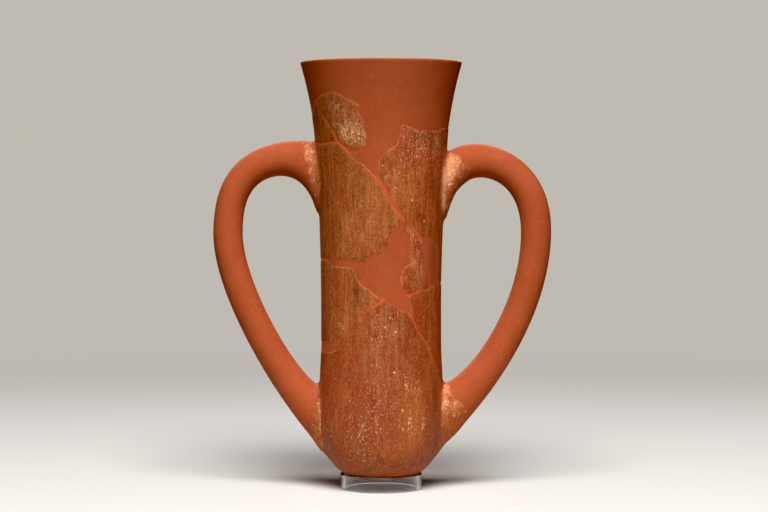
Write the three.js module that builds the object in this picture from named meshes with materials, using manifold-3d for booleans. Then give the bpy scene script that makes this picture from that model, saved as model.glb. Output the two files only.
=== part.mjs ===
// A tall two-handled drinking cup of fired clay, round-bottomed, held upright by a clear acrylic ring.
// Millimetres, +Z up. The origin is on the floor, under the axis of the cup. The handles lie in the XZ plane.

import * as THREE from "three";
import { mergeVertices } from "three/addons/utils/BufferGeometryUtils.js";
import Module from "manifold-3d";

// Stations of the cup's outer wall, from the small flat under it to the rim
const FOOT = { radius: 6, height: 5.4 };
const BELLY = { radius: 38, height: 45.2 };
const WAIST = { radius: 36.3, height: 93.2 };
const NECK = { radius: 40.1, height: 213.2 };
const RIM = { radius: 49.3, height: 259.6 };

// How far the wall keeps its direction on either side of each station
const BOTTOM_FULLNESS = { across: 0.655, up: 0.615 };
const BELLY_PULL = 19;
const WAIST_PULL = { down: 18.5, up: 47 };
const NECK_PULL = { down: 34.5, up: 14.5, slope: 0.063 };
const RIM_PULL = { down: 14, slope: 0.3 };

// Thickness of the clay at the wall, at the lip and under the hollow
const CLAY = { wall: 5, lip: 4, floor: 6.5 };

// The lip is cut level: how far it rises above the rim, and how broad the rounding of its two edges is
const LIP = { rise: 0.6, outerEdge: 0.6, innerEdge: 1.4 };

// Handles: half their thickness in the XZ plane, half their width along Y, and how the roots spread along Y
const HANDLE_HALF_THICKNESS = 9.1;
const HANDLE_HALF_WIDTH = 9;
const UPPER_ROOT_SPREAD = { width: 1.5, length: 10 };
const LOWER_ROOT_SPREAD = { width: 5, length: 12 };

// Each handle's centre line, as distance out from the axis and height, made by hand and so not quite alike.
// It leaves the wall at upperRoot, heads for crown, turns straight down at reach and comes back by way of
// turn to lowerRoot, then runs on into the clay to lowerEnd. The flares thicken it near the wall: under is the
// side towards the loop, over the other, and length is the distance from the wall in which a flare falls to a
// third.
const LEFT_HANDLE = {
  side: -1,
  upperRoot: [27, 204.2],
  crown: [85, 209.2],
  shoulderHeight: 183.2,
  reach: [93.5, 156.2],
  flankHeight: 129.2,
  turn: [71, 80.7],
  lowerRoot: [33, 32.7],
  lowerEnd: [17, 25.7],
  upperFlare: { under: 26, over: -3.2, length: 10.5 },
  lowerFlare: { under: 20, over: 0, length: 8 },
};
const RIGHT_HANDLE = {
  side: 1,
  upperRoot: [29, 204.2],
  crown: [83.5, 208.7],
  shoulderHeight: 180.2,
  reach: [94.5, 157.2],
  flankHeight: 122.7,
  turn: [77, 77.7],
  lowerRoot: [32.5, 34.7],
  lowerEnd: [21, 23.6],
  upperFlare: { under: 29.5, over: -9.5, length: 10.3 },
  lowerFlare: { under: 21.7, over: 0.9, length: 10.7 },
};

// Clear ring under the cup: a short length of 50 mm tube with broken edges
const RING = { outerRadius: 25, innerRadius: 22.5, height: 9.2, edge: 0.4 };

// Fineness of the surfaces
const TURN_SEGMENTS = 56;
const STRETCH_STEPS = [8, 4, 6, 6];
const LIP_STEPS = 3;
const RIB_STEPS = 20;
const RIB_SIDES = 16;
const PROFILE_SAMPLES = 60;

const TERRACOTTA = new THREE.MeshStandardMaterial({ color: 0xb0552e, roughness: 0.78, metalness: 0 });
const CLEAR_ACRYLIC = new THREE.MeshStandardMaterial({
  color: 0xf1f4f4,
  roughness: 0.05,
  metalness: 0,
  transparent: true,
  opacity: 0.35,
});

const wasm = await Module();
wasm.setup();

// The four stretches of the wall from foot to rim, on a surface that lies the given depths inside the outer one.
function wallStretches(depth) {
  const foot = new THREE.Vector2(FOOT.radius, FOOT.height + depth.floor);
  const belly = new THREE.Vector2(BELLY.radius - depth.wall, BELLY.height);
  const waist = new THREE.Vector2(WAIST.radius - depth.wall, WAIST.height);
  const neck = new THREE.Vector2(NECK.radius - depth.wall, NECK.height);
  const rim = new THREE.Vector2(RIM.radius - depth.lip, RIM.height);
  const from = (point, across, up) => new THREE.Vector2(point.x + across, point.y + up);
  const bottomAcross = BOTTOM_FULLNESS.across * (belly.x - foot.x);
  const bottomUp = BOTTOM_FULLNESS.up * (belly.y - foot.y);
  const controls = [
    [foot, from(foot, bottomAcross, 0), from(belly, 0, -bottomUp), belly],
    [belly, from(belly, 0, BELLY_PULL), from(waist, 0, -WAIST_PULL.down), waist],
    [waist, from(waist, 0, WAIST_PULL.up), from(neck, -NECK_PULL.slope * NECK_PULL.down, -NECK_PULL.down), neck],
    [
      neck,
      from(neck, NECK_PULL.slope * NECK_PULL.up, NECK_PULL.up),
      from(rim, -RIM_PULL.slope * RIM_PULL.down, -RIM_PULL.down),
      rim,
    ],
  ];
  return controls.map((points) => new THREE.CubicBezierCurve(...points));
}

// Points along the stretches, each stretch in its own number of steps.
function wallPoints(depth, steps) {
  return wallStretches(depth).flatMap((curve, i) => curve.getPoints(steps[i]).slice(i === 0 ? 0 : 1));
}

// A share of the clay's thickness, as depths for wallStretches.
function clayDepth(share) {
  return { wall: CLAY.wall * share, lip: CLAY.lip * share, floor: CLAY.floor * share };
}

// Radius of the outer wall at a height, between the foot and the rim.
const outerSamples = wallPoints(clayDepth(0), STRETCH_STEPS.map(() => PROFILE_SAMPLES));
function outerRadius(height) {
  const next = outerSamples.findIndex((point) => point.y >= height);
  if (next <= 0) return next === 0 ? outerSamples[0].x : RIM.radius;
  const low = outerSamples[next - 1];
  const high = outerSamples[next];
  return THREE.MathUtils.mapLinear(height, low.y, high.y, low.x, high.x);
}

// A profile of radius and height, turned about the Z axis.
function turned(profile) {
  return new THREE.LatheGeometry(profile, TURN_SEGMENTS).rotateX(Math.PI / 2);
}

// A closed geometry as a solid that can be joined and cut.
function solid(geometry) {
  geometry.deleteAttribute("normal");
  geometry.deleteAttribute("uv");
  const merged = mergeVertices(geometry);
  const corners = merged.index.array;
  const triVerts = [];
  for (let i = 0; i < corners.length; i += 3) {
    const [a, b, c] = corners.slice(i, i + 3);
    if (a !== b && b !== c && c !== a) triVerts.push(a, b, c);
  }
  return new wasm.Manifold(
    new wasm.Mesh({
      numProp: 3,
      vertProperties: merged.attributes.position.array,
      triVerts: Uint32Array.from(triVerts),
    }),
  );
}

// The solid's surface as a geometry for a mesh.
function geometryOf(made) {
  const { vertProperties, triVerts } = made.getMesh();
  const geometry = new THREE.BufferGeometry();
  geometry.setAttribute("position", new THREE.BufferAttribute(vertProperties, 3));
  geometry.setIndex(new THREE.BufferAttribute(triVerts, 1));
  geometry.computeVertexNormals();
  return geometry;
}

// The hollow vessel: outer wall, level lip and inner wall in one turned profile.
function vessel() {
  const outer = wallPoints(clayDepth(0), STRETCH_STEPS);
  const inner = wallPoints(clayDepth(1), STRETCH_STEPS).reverse();
  const innerRim = RIM.radius - CLAY.lip;
  const edge = (centre, across, from) =>
    new THREE.EllipseCurve(centre, RIM.height, across, LIP.rise, from, from + Math.PI / 2).getPoints(LIP_STEPS);
  const outerEdge = edge(RIM.radius - LIP.outerEdge, LIP.outerEdge, 0);
  const innerEdge = edge(innerRim + LIP.innerEdge, LIP.innerEdge, Math.PI / 2);
  const profile = [
    new THREE.Vector2(0, outer[0].y),
    ...outer,
    ...outerEdge.slice(1),
    ...innerEdge.slice(0, -1),
    ...inner,
    new THREE.Vector2(0, inner.at(-1).y),
  ];
  return solid(turned(profile));
}

// What lies inside the middle of the wall, to cut the handles' hidden ends off within the clay.
function vesselCore() {
  const middle = wallPoints(clayDepth(0.5), STRETCH_STEPS);
  return solid(
    turned([new THREE.Vector2(0, middle[0].y), ...middle, new THREE.Vector2(0, middle.at(-1).y)]),
  );
}

// One oval rib across a handle: its centre, its half height along away, and its half width along Y.
function handleRib(centre, tangent, flare, spread) {
  const away = new THREE.Vector2(-tangent.y, tangent.x);
  const gap = Math.max(0, centre.x - outerRadius(centre.y));
  const fade = Math.exp(-gap / flare.length);
  const over = HANDLE_HALF_THICKNESS + flare.over * fade;
  const under = HANDLE_HALF_THICKNESS + flare.under * fade;
  return {
    centre: centre.clone().addScaledVector(away, (over - under) / 2),
    away,
    halfHeight: (over + under) / 2,
    halfWidth: HANDLE_HALF_WIDTH + spread.width * Math.exp(-gap / spread.length),
  };
}

// A loop handle: oval ribs along its centre line, joined by bands and closed by a fan at each end.
function handle(shape) {
  const point = ([out, up]) => new THREE.Vector2(out, up);
  const [out] = shape.reach;
  const upper = new THREE.CubicBezierCurve(
    point(shape.upperRoot),
    point(shape.crown),
    point([out, shape.shoulderHeight]),
    point(shape.reach),
  );
  const lower = new THREE.CubicBezierCurve(
    point(shape.reach),
    point([out, shape.flankHeight]),
    point(shape.turn),
    point(shape.lowerRoot),
  );
  const ribs = [];
  for (let i = 0; i < RIB_STEPS; i++) {
    const share = i / RIB_STEPS;
    ribs.push(handleRib(upper.getPoint(share), upper.getTangent(share), shape.upperFlare, UPPER_ROOT_SPREAD));
  }
  for (let i = 0; i <= RIB_STEPS; i++) {
    const share = i / RIB_STEPS;
    ribs.push(handleRib(lower.getPoint(share), lower.getTangent(share), shape.lowerFlare, LOWER_ROOT_SPREAD));
  }
  const inward = lower.getTangent(1);
  ribs.push(handleRib(point(shape.lowerEnd), inward, shape.lowerFlare, LOWER_ROOT_SPREAD));

  const positions = [];
  for (const rib of ribs) {
    for (let k = 0; k < RIB_SIDES; k++) {
      const angle = (2 * Math.PI * k) / RIB_SIDES;
      const reach = rib.halfHeight * Math.cos(angle);
      const x = shape.side * (rib.centre.x + rib.away.x * reach);
      const y = shape.side * rib.halfWidth * Math.sin(angle);
      positions.push(x, y, rib.centre.y + rib.away.y * reach);
    }
  }
  const index = [];
  for (let i = 0; i + 1 < ribs.length; i++) {
    for (let k = 0; k < RIB_SIDES; k++) {
      const here = i * RIB_SIDES + k;
      const beside = i * RIB_SIDES + ((k + 1) % RIB_SIDES);
      index.push(here, here + RIB_SIDES, beside, beside, here + RIB_SIDES, beside + RIB_SIDES);
    }
  }
  const last = (ribs.length - 1) * RIB_SIDES;
  for (let k = 1; k + 1 < RIB_SIDES; k++) {
    index.push(0, k, k + 1, last, last + k + 1, last + k);
  }
  const geometry = new THREE.BufferGeometry();
  geometry.setAttribute("position", new THREE.Float32BufferAttribute(positions, 3));
  geometry.setIndex(index);
  return solid(geometry);
}

// The cup: vessel and handles luted and fired as one, with the hollow kept clear.
function cupGeometry() {
  const core = vesselCore();
  const handles = [LEFT_HANDLE, RIGHT_HANDLE].map((shape) => handle(shape).subtract(core));
  return geometryOf(handles.reduce((made, loop) => made.add(loop), vessel()));
}

// The ring: a square-cut tube with a narrow bevel on every edge.
function ringGeometry() {
  const { outerRadius: out, innerRadius: inn, height, edge } = RING;
  const profile = [
    [inn + edge, 0],
    [out - edge, 0],
    [out, edge],
    [out, height - edge],
    [out - edge, height],
    [inn + edge, height],
    [inn, height - edge],
    [inn, edge],
    [inn + edge, 0],
  ];
  return turned(profile.map(([radius, up]) => new THREE.Vector2(radius, up)));
}

function namedMesh(name, geometry, material) {
  const mesh = new THREE.Mesh(geometry, material);
  mesh.name = name;
  return mesh;
}

const cupOnRing = new THREE.Group();
cupOnRing.add(namedMesh("cup", cupGeometry(), TERRACOTTA));
cupOnRing.add(namedMesh("stand_ring", ringGeometry(), CLEAR_ACRYLIC));

export default cupOnRing;
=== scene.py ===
"""Dresses a mended two-handled clay drinking cup and the clear ring that it stands in.

The cup is one closed mesh: a turned wall, two swept handles, fillets at their roots and the low relief of
the mended surface. Lengths in the shape classes are millimetres in the part's own frame, with +Z up, the
handles in the XZ plane and the front of the cup towards -Y. Meshes are written in metres.
"""

from __future__ import annotations

import logging
from dataclasses import dataclass
from enum import Enum
from typing import Any, Sequence

import bpy
import numpy as np
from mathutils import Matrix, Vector

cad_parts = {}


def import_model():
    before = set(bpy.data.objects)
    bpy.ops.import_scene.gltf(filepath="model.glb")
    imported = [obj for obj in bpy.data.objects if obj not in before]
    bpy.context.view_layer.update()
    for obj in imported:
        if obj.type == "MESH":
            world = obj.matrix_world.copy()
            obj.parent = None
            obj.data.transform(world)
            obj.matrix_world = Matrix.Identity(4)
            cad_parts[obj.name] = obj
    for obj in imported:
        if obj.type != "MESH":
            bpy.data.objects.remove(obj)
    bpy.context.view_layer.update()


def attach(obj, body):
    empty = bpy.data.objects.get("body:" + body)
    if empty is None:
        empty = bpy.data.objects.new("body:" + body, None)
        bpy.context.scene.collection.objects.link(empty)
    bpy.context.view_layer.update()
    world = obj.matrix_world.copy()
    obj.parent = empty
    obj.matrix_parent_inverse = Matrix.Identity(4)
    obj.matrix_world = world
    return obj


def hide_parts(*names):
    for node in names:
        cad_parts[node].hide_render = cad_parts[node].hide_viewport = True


LOG = logging.getLogger("two_handled_cup")
METRES = 0.001
TINY = 0.001
NOISE_MIDDLE = 0.5
SRGB_KNEE = 0.04045
SRGB_SLOPE = 12.92
SRGB_OFFSET = 0.055
SRGB_POWER = 2.4
Colour = tuple[float, float, float, float]
Pair = tuple[float, float]
Triple = tuple[float, float, float]


def smoothstep(low: float, high: float, value: np.ndarray) -> np.ndarray:
    """Eases from 0 at low to 1 at high along 3t^2 - 2t^3.

    Args:
        low: Value at which the result leaves 0.
        high: Value at which the result reaches 1.
        value: Numbers to ease.

    Returns:
        Eased numbers between 0 and 1.
    """
    share = np.clip((value - low) / (high - low), 0.0, 1.0)
    return share * share * (3.0 - 2.0 * share)


def linear(red: int, green: int, blue: int) -> Colour:
    """Turns a screen colour into the linear colour that a shader takes, by the sRGB curve.

    Args:
        red: Red from 0 to 255.
        green: Green from 0 to 255.
        blue: Blue from 0 to 255.

    Returns:
        Linear red, green, blue and an alpha of 1.
    """
    screen = np.array((red, green, blue)) / 255.0
    low = screen / SRGB_SLOPE
    high = ((screen + SRGB_OFFSET) / (1.0 + SRGB_OFFSET)) ** SRGB_POWER
    values = np.where(screen <= SRGB_KNEE, low, high)
    return (*values.tolist(), 1.0)


def bezier(controls: Sequence[Pair], share: np.ndarray) -> tuple[np.ndarray, np.ndarray]:
    """Cubic Bezier curve in the plane: weights (1-t)^3, 3t(1-t)^2, 3t^2(1-t), t^3.

    Args:
        controls: Start, two pulls and end.
        share: Places along the curve from 0 to 1.

    Returns:
        Points and unit tangents, both of shape (len(share), 2).
    """
    a, b, c, d = (np.array(point, float) for point in controls)
    t = share[:, None]
    points = (1 - t) ** 3 * a + 3 * t * (1 - t) ** 2 * b + 3 * t**2 * (1 - t) * c + t**3 * d
    along = (1 - t) ** 2 * (b - a) + 2 * t * (1 - t) * (c - b) + t**2 * (d - c)
    return points, along / np.linalg.norm(along, axis=1, keepdims=True)


def evenly(points: np.ndarray, count: int) -> np.ndarray:
    """Resamples a polyline at equal distances along it.

    Args:
        points: Polyline of shape (n, 2).
        count: Number of points wanted.

    Returns:
        Points of shape (count, 2), with the ends kept.
    """
    steps = np.linalg.norm(np.diff(points, axis=0), axis=1)
    run = np.concatenate([[0.0], np.cumsum(steps)])
    places = np.linspace(0.0, run[-1], count)
    return np.stack([np.interp(places, run, points[:, axis]) for axis in range(2)], axis=1)


class LatticeNoise:
    """Smooth value noise: random numbers on a lattice, eased between along each axis."""

    TABLE_SIZE = 4096
    PRIMES = (73856093, 19349663, 83492791)

    def __init__(self, seed: int) -> None:
        """Draws the table of lattice values.

        Args:
            seed: Seed of the draw, so that every run gives the same surface.
        """
        self.table = np.random.default_rng(seed).uniform(-1.0, 1.0, self.TABLE_SIZE)

    def __call__(self, points: np.ndarray, cell: float | Sequence[float]) -> np.ndarray:
        """Samples the noise.

        Args:
            points: Places of shape (n, 3).
            cell: Lattice spacing, one number or one for each axis.

        Returns:
            Values between -1 and 1, of shape (n,).
        """
        scaled = points / np.asarray(cell, float)
        base = np.floor(scaled).astype(np.int64)
        part = scaled - base
        ease = part * part * (3.0 - 2.0 * part)
        total = np.zeros(len(points))
        for corner in np.ndindex(2, 2, 2):
            place = base + np.array(corner)
            mixed = np.bitwise_xor.reduce(place * np.array(self.PRIMES), axis=1)
            weight = np.prod(np.where(np.array(corner) == 1, ease, 1.0 - ease), axis=1)
            total += weight * self.table[mixed & (self.TABLE_SIZE - 1)]
        return total


@dataclass(frozen=True)
class Layer:
    """A layer of lattice noise: its height, its cell size and where in the lattice it is read."""

    height: float
    cell: float | Triple
    offset: float = 0.0

    def __call__(self, points: np.ndarray, noise: LatticeNoise) -> np.ndarray:
        """Heights at points of shape (n, 3)."""
        return self.height * noise(points + self.offset, self.cell)


@dataclass(frozen=True)
class Pits(Layer):
    """Pits where the noise is high: their depth times the noise, eased from 0 to 1 between two limits."""

    limits: Pair = (0.6, 0.85)

    def __call__(self, points: np.ndarray, noise: LatticeNoise) -> np.ndarray:
        """Depths at points of shape (n, 3)."""
        return self.height * smoothstep(*self.limits, noise(points + self.offset, self.cell))


def quad_bands(rows: int, columns: int, closed: bool = False) -> np.ndarray:
    """Four-sided faces between neighbouring rings of points that are numbered row by row.

    Args:
        rows: Number of rings.
        columns: Points on each ring.
        closed: Whether the last ring joins the first.

    Returns:
        Point numbers of shape (n, 4).
    """
    index = np.arange(rows * columns).reshape(rows, columns)
    if closed:
        index = np.concatenate([index, index[:1]])
    beside = np.roll(index, -1, axis=1)
    return np.stack([index[:-1], beside[:-1], beside[1:], index[1:]], axis=-1).reshape(-1, 4)


def closed_rings(rings: np.ndarray, first: np.ndarray, last: np.ndarray) -> tuple[np.ndarray, list]:
    """Joins rings of points into a closed skin, with a fan to a single point at each end.

    Args:
        rings: Points of shape (rows, columns, 3), each row a closed ring.
        first: Point that closes the first ring.
        last: Point that closes the last ring.

    Returns:
        Vertices of shape (n, 3) and the faces as lists of indices.
    """
    rows, columns, _ = rings.shape
    start = rows * columns
    first_ring = np.arange(columns)
    last_ring = first_ring + start - columns
    ends = np.full(columns, start)
    first_fan = np.stack([ends, np.roll(first_ring, -1), first_ring], axis=-1)
    last_fan = np.stack([ends + 1, last_ring, np.roll(last_ring, -1)], axis=-1)
    vertices = np.concatenate([rings.reshape(-1, 3), first[None], last[None]])
    return vertices, quad_bands(rows, columns).tolist() + first_fan.tolist() + last_fan.tolist()


def turned(profile: np.ndarray, columns: int) -> np.ndarray:
    """Turns a profile about Z: (r cos a, r sin a, z) for each column angle a.

    Args:
        profile: Radius and height, of shape (rows, 2).
        columns: Number of points round the axis.

    Returns:
        Rings of shape (rows, columns, 3).
    """
    angle = np.linspace(0.0, 2.0 * np.pi, columns, endpoint=False)
    radius = profile[:, :1]
    height = np.broadcast_to(profile[:, 1:], (len(profile), columns))
    return np.stack([radius * np.cos(angle), radius * np.sin(angle), height], axis=-1)


def new_mesh_object(name: str, vertices: np.ndarray, faces: list) -> bpy.types.Object:
    """Makes a smooth-shaded mesh object at the origin.

    Args:
        name: Name of the object and its mesh.
        vertices: Points in millimetres, of shape (n, 3).
        faces: Faces as lists of indices.

    Returns:
        The object, linked into the scene.
    """
    mesh = bpy.data.meshes.new(name)
    mesh.from_pydata((vertices * METRES).tolist(), [], faces)
    mesh.shade_smooth()
    made = bpy.data.objects.new(name, mesh)
    bpy.context.scene.collection.objects.link(made)
    return made


def place_points(mesh: bpy.types.Mesh, points: np.ndarray) -> None:
    """Moves a mesh's vertices to points in millimetres, of shape (n, 3)."""
    mesh.vertices.foreach_set("co", (points * METRES).astype(np.float32).ravel())
    mesh.update()


def turned_solid(name: str, profile: np.ndarray, columns: int) -> bpy.types.Object:
    """Solid of revolution, with a fan to the axis at each end of the profile.

    Args:
        name: Name of the object.
        profile: Radius and height, of shape (rows, 2).
        columns: Number of points round the axis.

    Returns:
        The closed solid.
    """
    first, last = (np.array((0.0, 0.0, height)) for height in profile[[0, -1], 1])
    return new_mesh_object(name, *closed_rings(turned(profile, columns), first, last))


class Joining(Enum):
    """Ways to put two closed meshes together."""

    UNION = "UNION"
    DIFFERENCE = "DIFFERENCE"


def join(base: bpy.types.Object, tool: bpy.types.Object, way: Joining) -> None:
    """Joins a closed mesh to another or cuts it by it, and removes the tool.

    Args:
        base: Object whose mesh is changed.
        tool: Object that is joined or cut away.
        way: Union or difference.
    """
    modifier = base.modifiers.new("joined", "BOOLEAN")
    modifier.operation = way.value
    modifier.solver = "MANIFOLD"
    modifier.object = tool
    evaluated = base.evaluated_get(bpy.context.evaluated_depsgraph_get())
    result = bpy.data.meshes.new_from_object(evaluated)
    base.modifiers.remove(modifier)
    old = base.data
    name = old.name
    base.data = result
    bpy.data.meshes.remove(old)
    base.data.name = name
    spent = tool.data
    bpy.data.objects.remove(tool)
    bpy.data.meshes.remove(spent)


@dataclass(frozen=True)
class WallProfile:
    """Outline of the cup's turned wall, as radius and height stations with the pulls between them."""

    foot: Pair = (6.0, 5.4)
    belly: Pair = (38.0, 45.2)
    waist: Pair = (36.3, 93.2)
    neck: Pair = (40.1, 213.2)
    rim: Pair = (49.3, 259.6)
    bottom_across: float = 0.655
    bottom_up: float = 0.615
    belly_pull: float = 19.0
    waist_pull_down: float = 18.5
    waist_pull_up: float = 47.0
    neck_pull_down: float = 34.5
    neck_pull_up: float = 14.5
    neck_slope: float = 0.063
    rim_pull: float = 14.0
    rim_slope: float = 0.3
    clay_wall: float = 5.0
    clay_lip: float = 4.0
    clay_floor: float = 6.5
    lip_rise: float = 0.6
    lip_outer_edge: float = 0.6
    lip_inner_edge: float = 1.4
    stretch_samples: int = 240
    lean_step: float = 0.5

    def line(self, share: float) -> np.ndarray:
        """Foot to rim, at a share of the clay's depth inside the outer surface.

        Args:
            share: 0 for the outer surface, 1 for the inner one.

        Returns:
            Radius and height of closely spaced points, of shape (n, 2).
        """
        wall = self.clay_wall * share
        foot_r, foot_z = self.foot[0], self.foot[1] + self.clay_floor * share
        belly_r, belly_z = self.belly[0] - wall, self.belly[1]
        waist_r, waist_z = self.waist[0] - wall, self.waist[1]
        neck_r, neck_z = self.neck[0] - wall, self.neck[1]
        rim_r, rim_z = self.rim[0] - self.clay_lip * share, self.rim[1]
        across = self.bottom_across * (belly_r - foot_r)
        up = self.bottom_up * (belly_z - foot_z)
        low_neck = (neck_r - self.neck_slope * self.neck_pull_down, neck_z - self.neck_pull_down)
        high_neck = (neck_r + self.neck_slope * self.neck_pull_up, neck_z + self.neck_pull_up)
        low_rim = (rim_r - self.rim_slope * self.rim_pull, rim_z - self.rim_pull)
        stretches = (
            ((foot_r, foot_z), (foot_r + across, foot_z), (belly_r, belly_z - up), (belly_r, belly_z)),
            (
                (belly_r, belly_z),
                (belly_r, belly_z + self.belly_pull),
                (waist_r, waist_z - self.waist_pull_down),
                (waist_r, waist_z),
            ),
            ((waist_r, waist_z), (waist_r, waist_z + self.waist_pull_up), low_neck, (neck_r, neck_z)),
            ((neck_r, neck_z), high_neck, low_rim, (rim_r, rim_z)),
        )
        places = np.linspace(0.0, 1.0, self.stretch_samples)
        return np.concatenate([bezier(controls, places)[0] for controls in stretches])

    def radius(self, height: np.ndarray) -> np.ndarray:
        """Radius of the outer wall at each height."""
        outer = self.line(0.0)
        return np.interp(height, outer[:, 1], outer[:, 0])

    def slope_factor(self, height: np.ndarray) -> np.ndarray:
        """Cosine of the wall's lean at each height, which turns a radial gap into a distance."""
        step = self.lean_step
        lean = (self.radius(height + step) - self.radius(height - step)) / (2.0 * step)
        return 1.0 / np.sqrt(1.0 + lean * lean)

    def gap(self, points: np.ndarray) -> np.ndarray:
        """Signed distance from the outer wall, positive outside, for points of shape (n, 3)."""
        across = np.hypot(points[:, 0], points[:, 1])
        return (across - self.radius(points[:, 2])) * self.slope_factor(points[:, 2])

    def lip(self, count: int) -> np.ndarray:
        """Level lip from the outer rim over to the inner rim: two quarter ovals and the flat between them.

        Args:
            count: Number of points on each quarter.

        Returns:
            Radius and height of the points, of shape (2 * count, 2).
        """
        angle = np.linspace(0.0, np.pi / 2.0, count + 1)[1:]
        height = self.rim[1] + self.lip_rise * np.sin(angle)
        outer = self.rim[0] - self.lip_outer_edge * (1.0 - np.cos(angle))
        inner = self.rim[0] - self.clay_lip + self.lip_inner_edge * (1.0 - np.cos(angle))
        over = np.stack([outer, height], axis=1)
        back = np.stack([inner, height], axis=1)[::-1]
        return np.concatenate([over, back])


@dataclass(frozen=True)
class Flare:
    """Thickening of a handle near the wall, on the loop's side and on the other, and how fast it fades."""

    under: float
    over: float
    length: float


@dataclass(frozen=True)
class LoopHandle:
    """A loop handle: oval ribs carried along a centre line of two Bezier curves.

    Points of the centre line are distance out from the axis and height. The flares thicken it at its roots.
    """

    side: int
    upper_root: Pair
    crown: Pair
    shoulder_height: float
    reach: Pair
    flank_height: float
    turn: Pair
    lower_root: Pair
    lower_end: Pair
    upper_flare: Flare
    lower_flare: Flare
    half_thickness: float = 9.1
    half_width: float = 9.0
    upper_spread: Pair = (1.5, 10.0)
    lower_spread: Pair = (5.0, 12.0)
    hidden_ribs: int = 8
    search_ribs: int = 120
    inner_limit: float = 18.0
    far: float = 24.0

    def centre_line(self, count: int) -> tuple[np.ndarray, np.ndarray, np.ndarray]:
        """Centre line from the upper root to the end hidden in the lower wall.

        Args:
            count: Points on each of the two curves.

        Returns:
            Points and tangents of shape (n, 2), and a flag of shape (n,) that is 1 on the upper curve.
        """
        out, _ = self.reach
        upper = (self.upper_root, self.crown, (out, self.shoulder_height), self.reach)
        lower = (self.reach, (out, self.flank_height), self.turn, self.lower_root)
        places = np.linspace(0.0, 1.0, count)
        upper_points, upper_tangents = bezier(upper, places[:-1])
        lower_points, lower_tangents = bezier(lower, places)
        run = np.linspace(0.0, 1.0, self.hidden_ribs + 1)[1:, None]
        tail = lower_points[-1] + run * (np.array(self.lower_end) - lower_points[-1])
        tail_tangents = np.repeat(lower_tangents[-1:], len(tail), axis=0)
        points = np.concatenate([upper_points, lower_points, tail])
        tangents = np.concatenate([upper_tangents, lower_tangents, tail_tangents])
        is_upper = (np.arange(len(points)) < len(upper_points)).astype(float)
        return points, tangents, is_upper

    def ribs(self, wall: WallProfile, count: int) -> tuple[np.ndarray, np.ndarray, np.ndarray, np.ndarray]:
        """Oval ribs across the handle.

        Args:
            wall: The wall that the handle grows from.
            count: Ribs on each of the two curves.

        Returns:
            Rib centres (n, 2), directions away from the loop (n, 2), half heights (n,) and half widths (n,).
        """
        points, tangents, is_upper = self.centre_line(count)
        away = np.stack([-tangents[:, 1], tangents[:, 0]], axis=1)
        gap = np.maximum(0.0, points[:, 0] - wall.radius(points[:, 1]))
        upper, lower = self.upper_flare, self.lower_flare
        fade = np.exp(-gap / np.where(is_upper > 0, upper.length, lower.length))
        over = self.half_thickness + fade * np.where(is_upper > 0, upper.over, lower.over)
        under = self.half_thickness + fade * np.where(is_upper > 0, upper.under, lower.under)
        spread = np.where(is_upper > 0, self.upper_spread[0], self.lower_spread[0])
        reach = np.where(is_upper > 0, self.upper_spread[1], self.lower_spread[1])
        centres = points + away * ((over - under) / 2.0)[:, None]
        return centres, away, (over + under) / 2.0, self.half_width + spread * np.exp(-gap / reach)

    def skin(self, wall: WallProfile, count: int, sides: int) -> tuple[np.ndarray, list]:
        """Closed skin: centre + away * a cos(f) across the loop's plane and w sin(f) along Y, for each rib.

        Args:
            wall: The wall that the handle grows from.
            count: Ribs on each of the two curves.
            sides: Points round each rib.

        Returns:
            Vertices and faces of the closed handle.
        """
        centres, away, half_height, half_width = self.ribs(wall, count)
        angle = np.linspace(0.0, 2.0 * np.pi, sides, endpoint=False)
        reach = half_height[:, None] * np.cos(angle)
        x = self.side * (centres[:, :1] + away[:, :1] * reach)
        y = -self.side * half_width[:, None] * np.sin(angle)
        z = centres[:, 1:] + away[:, 1:] * reach
        rings = np.stack([x, y, z], axis=-1)
        return closed_rings(rings, rings[0].mean(axis=0), rings[-1].mean(axis=0))

    def gap(self, points: np.ndarray, wall: WallProfile) -> np.ndarray:
        """Signed distance from the handle's skin, good to first order near it.

        The rib whose plane passes nearest is found for each point, q = hypot(e/a, y/w) is 1 on its oval, and
        (q - 1) over the length of q's gradient is the distance.

        Args:
            points: Places of shape (n, 3).
            wall: The wall that the handle grows from.

        Returns:
            Distances of shape (n,), positive outside.
        """
        result = np.full(len(points), self.far)
        on_side = self.side * points[:, 0] > self.inner_limit
        near = np.flatnonzero(on_side & (np.abs(points[:, 1]) < self.far))
        chosen = points[near]
        lines, _, _ = self.centre_line(self.search_ribs)
        centres, away, half_height, half_width = self.ribs(wall, self.search_ribs)
        flat = np.stack([self.side * chosen[:, 0], chosen[:, 2]], axis=1)
        best = np.argmin(((flat[:, None, :] - lines[None]) ** 2).sum(axis=-1), axis=1)
        across = ((flat - centres[best]) * away[best]).sum(axis=1)
        high, wide = half_height[best], half_width[best]
        oval = np.maximum(TINY, np.hypot(across / high, chosen[:, 1] / wide))
        slope = np.hypot(across / high**2, chosen[:, 1] / wide**2) / oval
        result[near] = (oval - 1.0) / np.maximum(slope, TINY)
        return result


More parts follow.
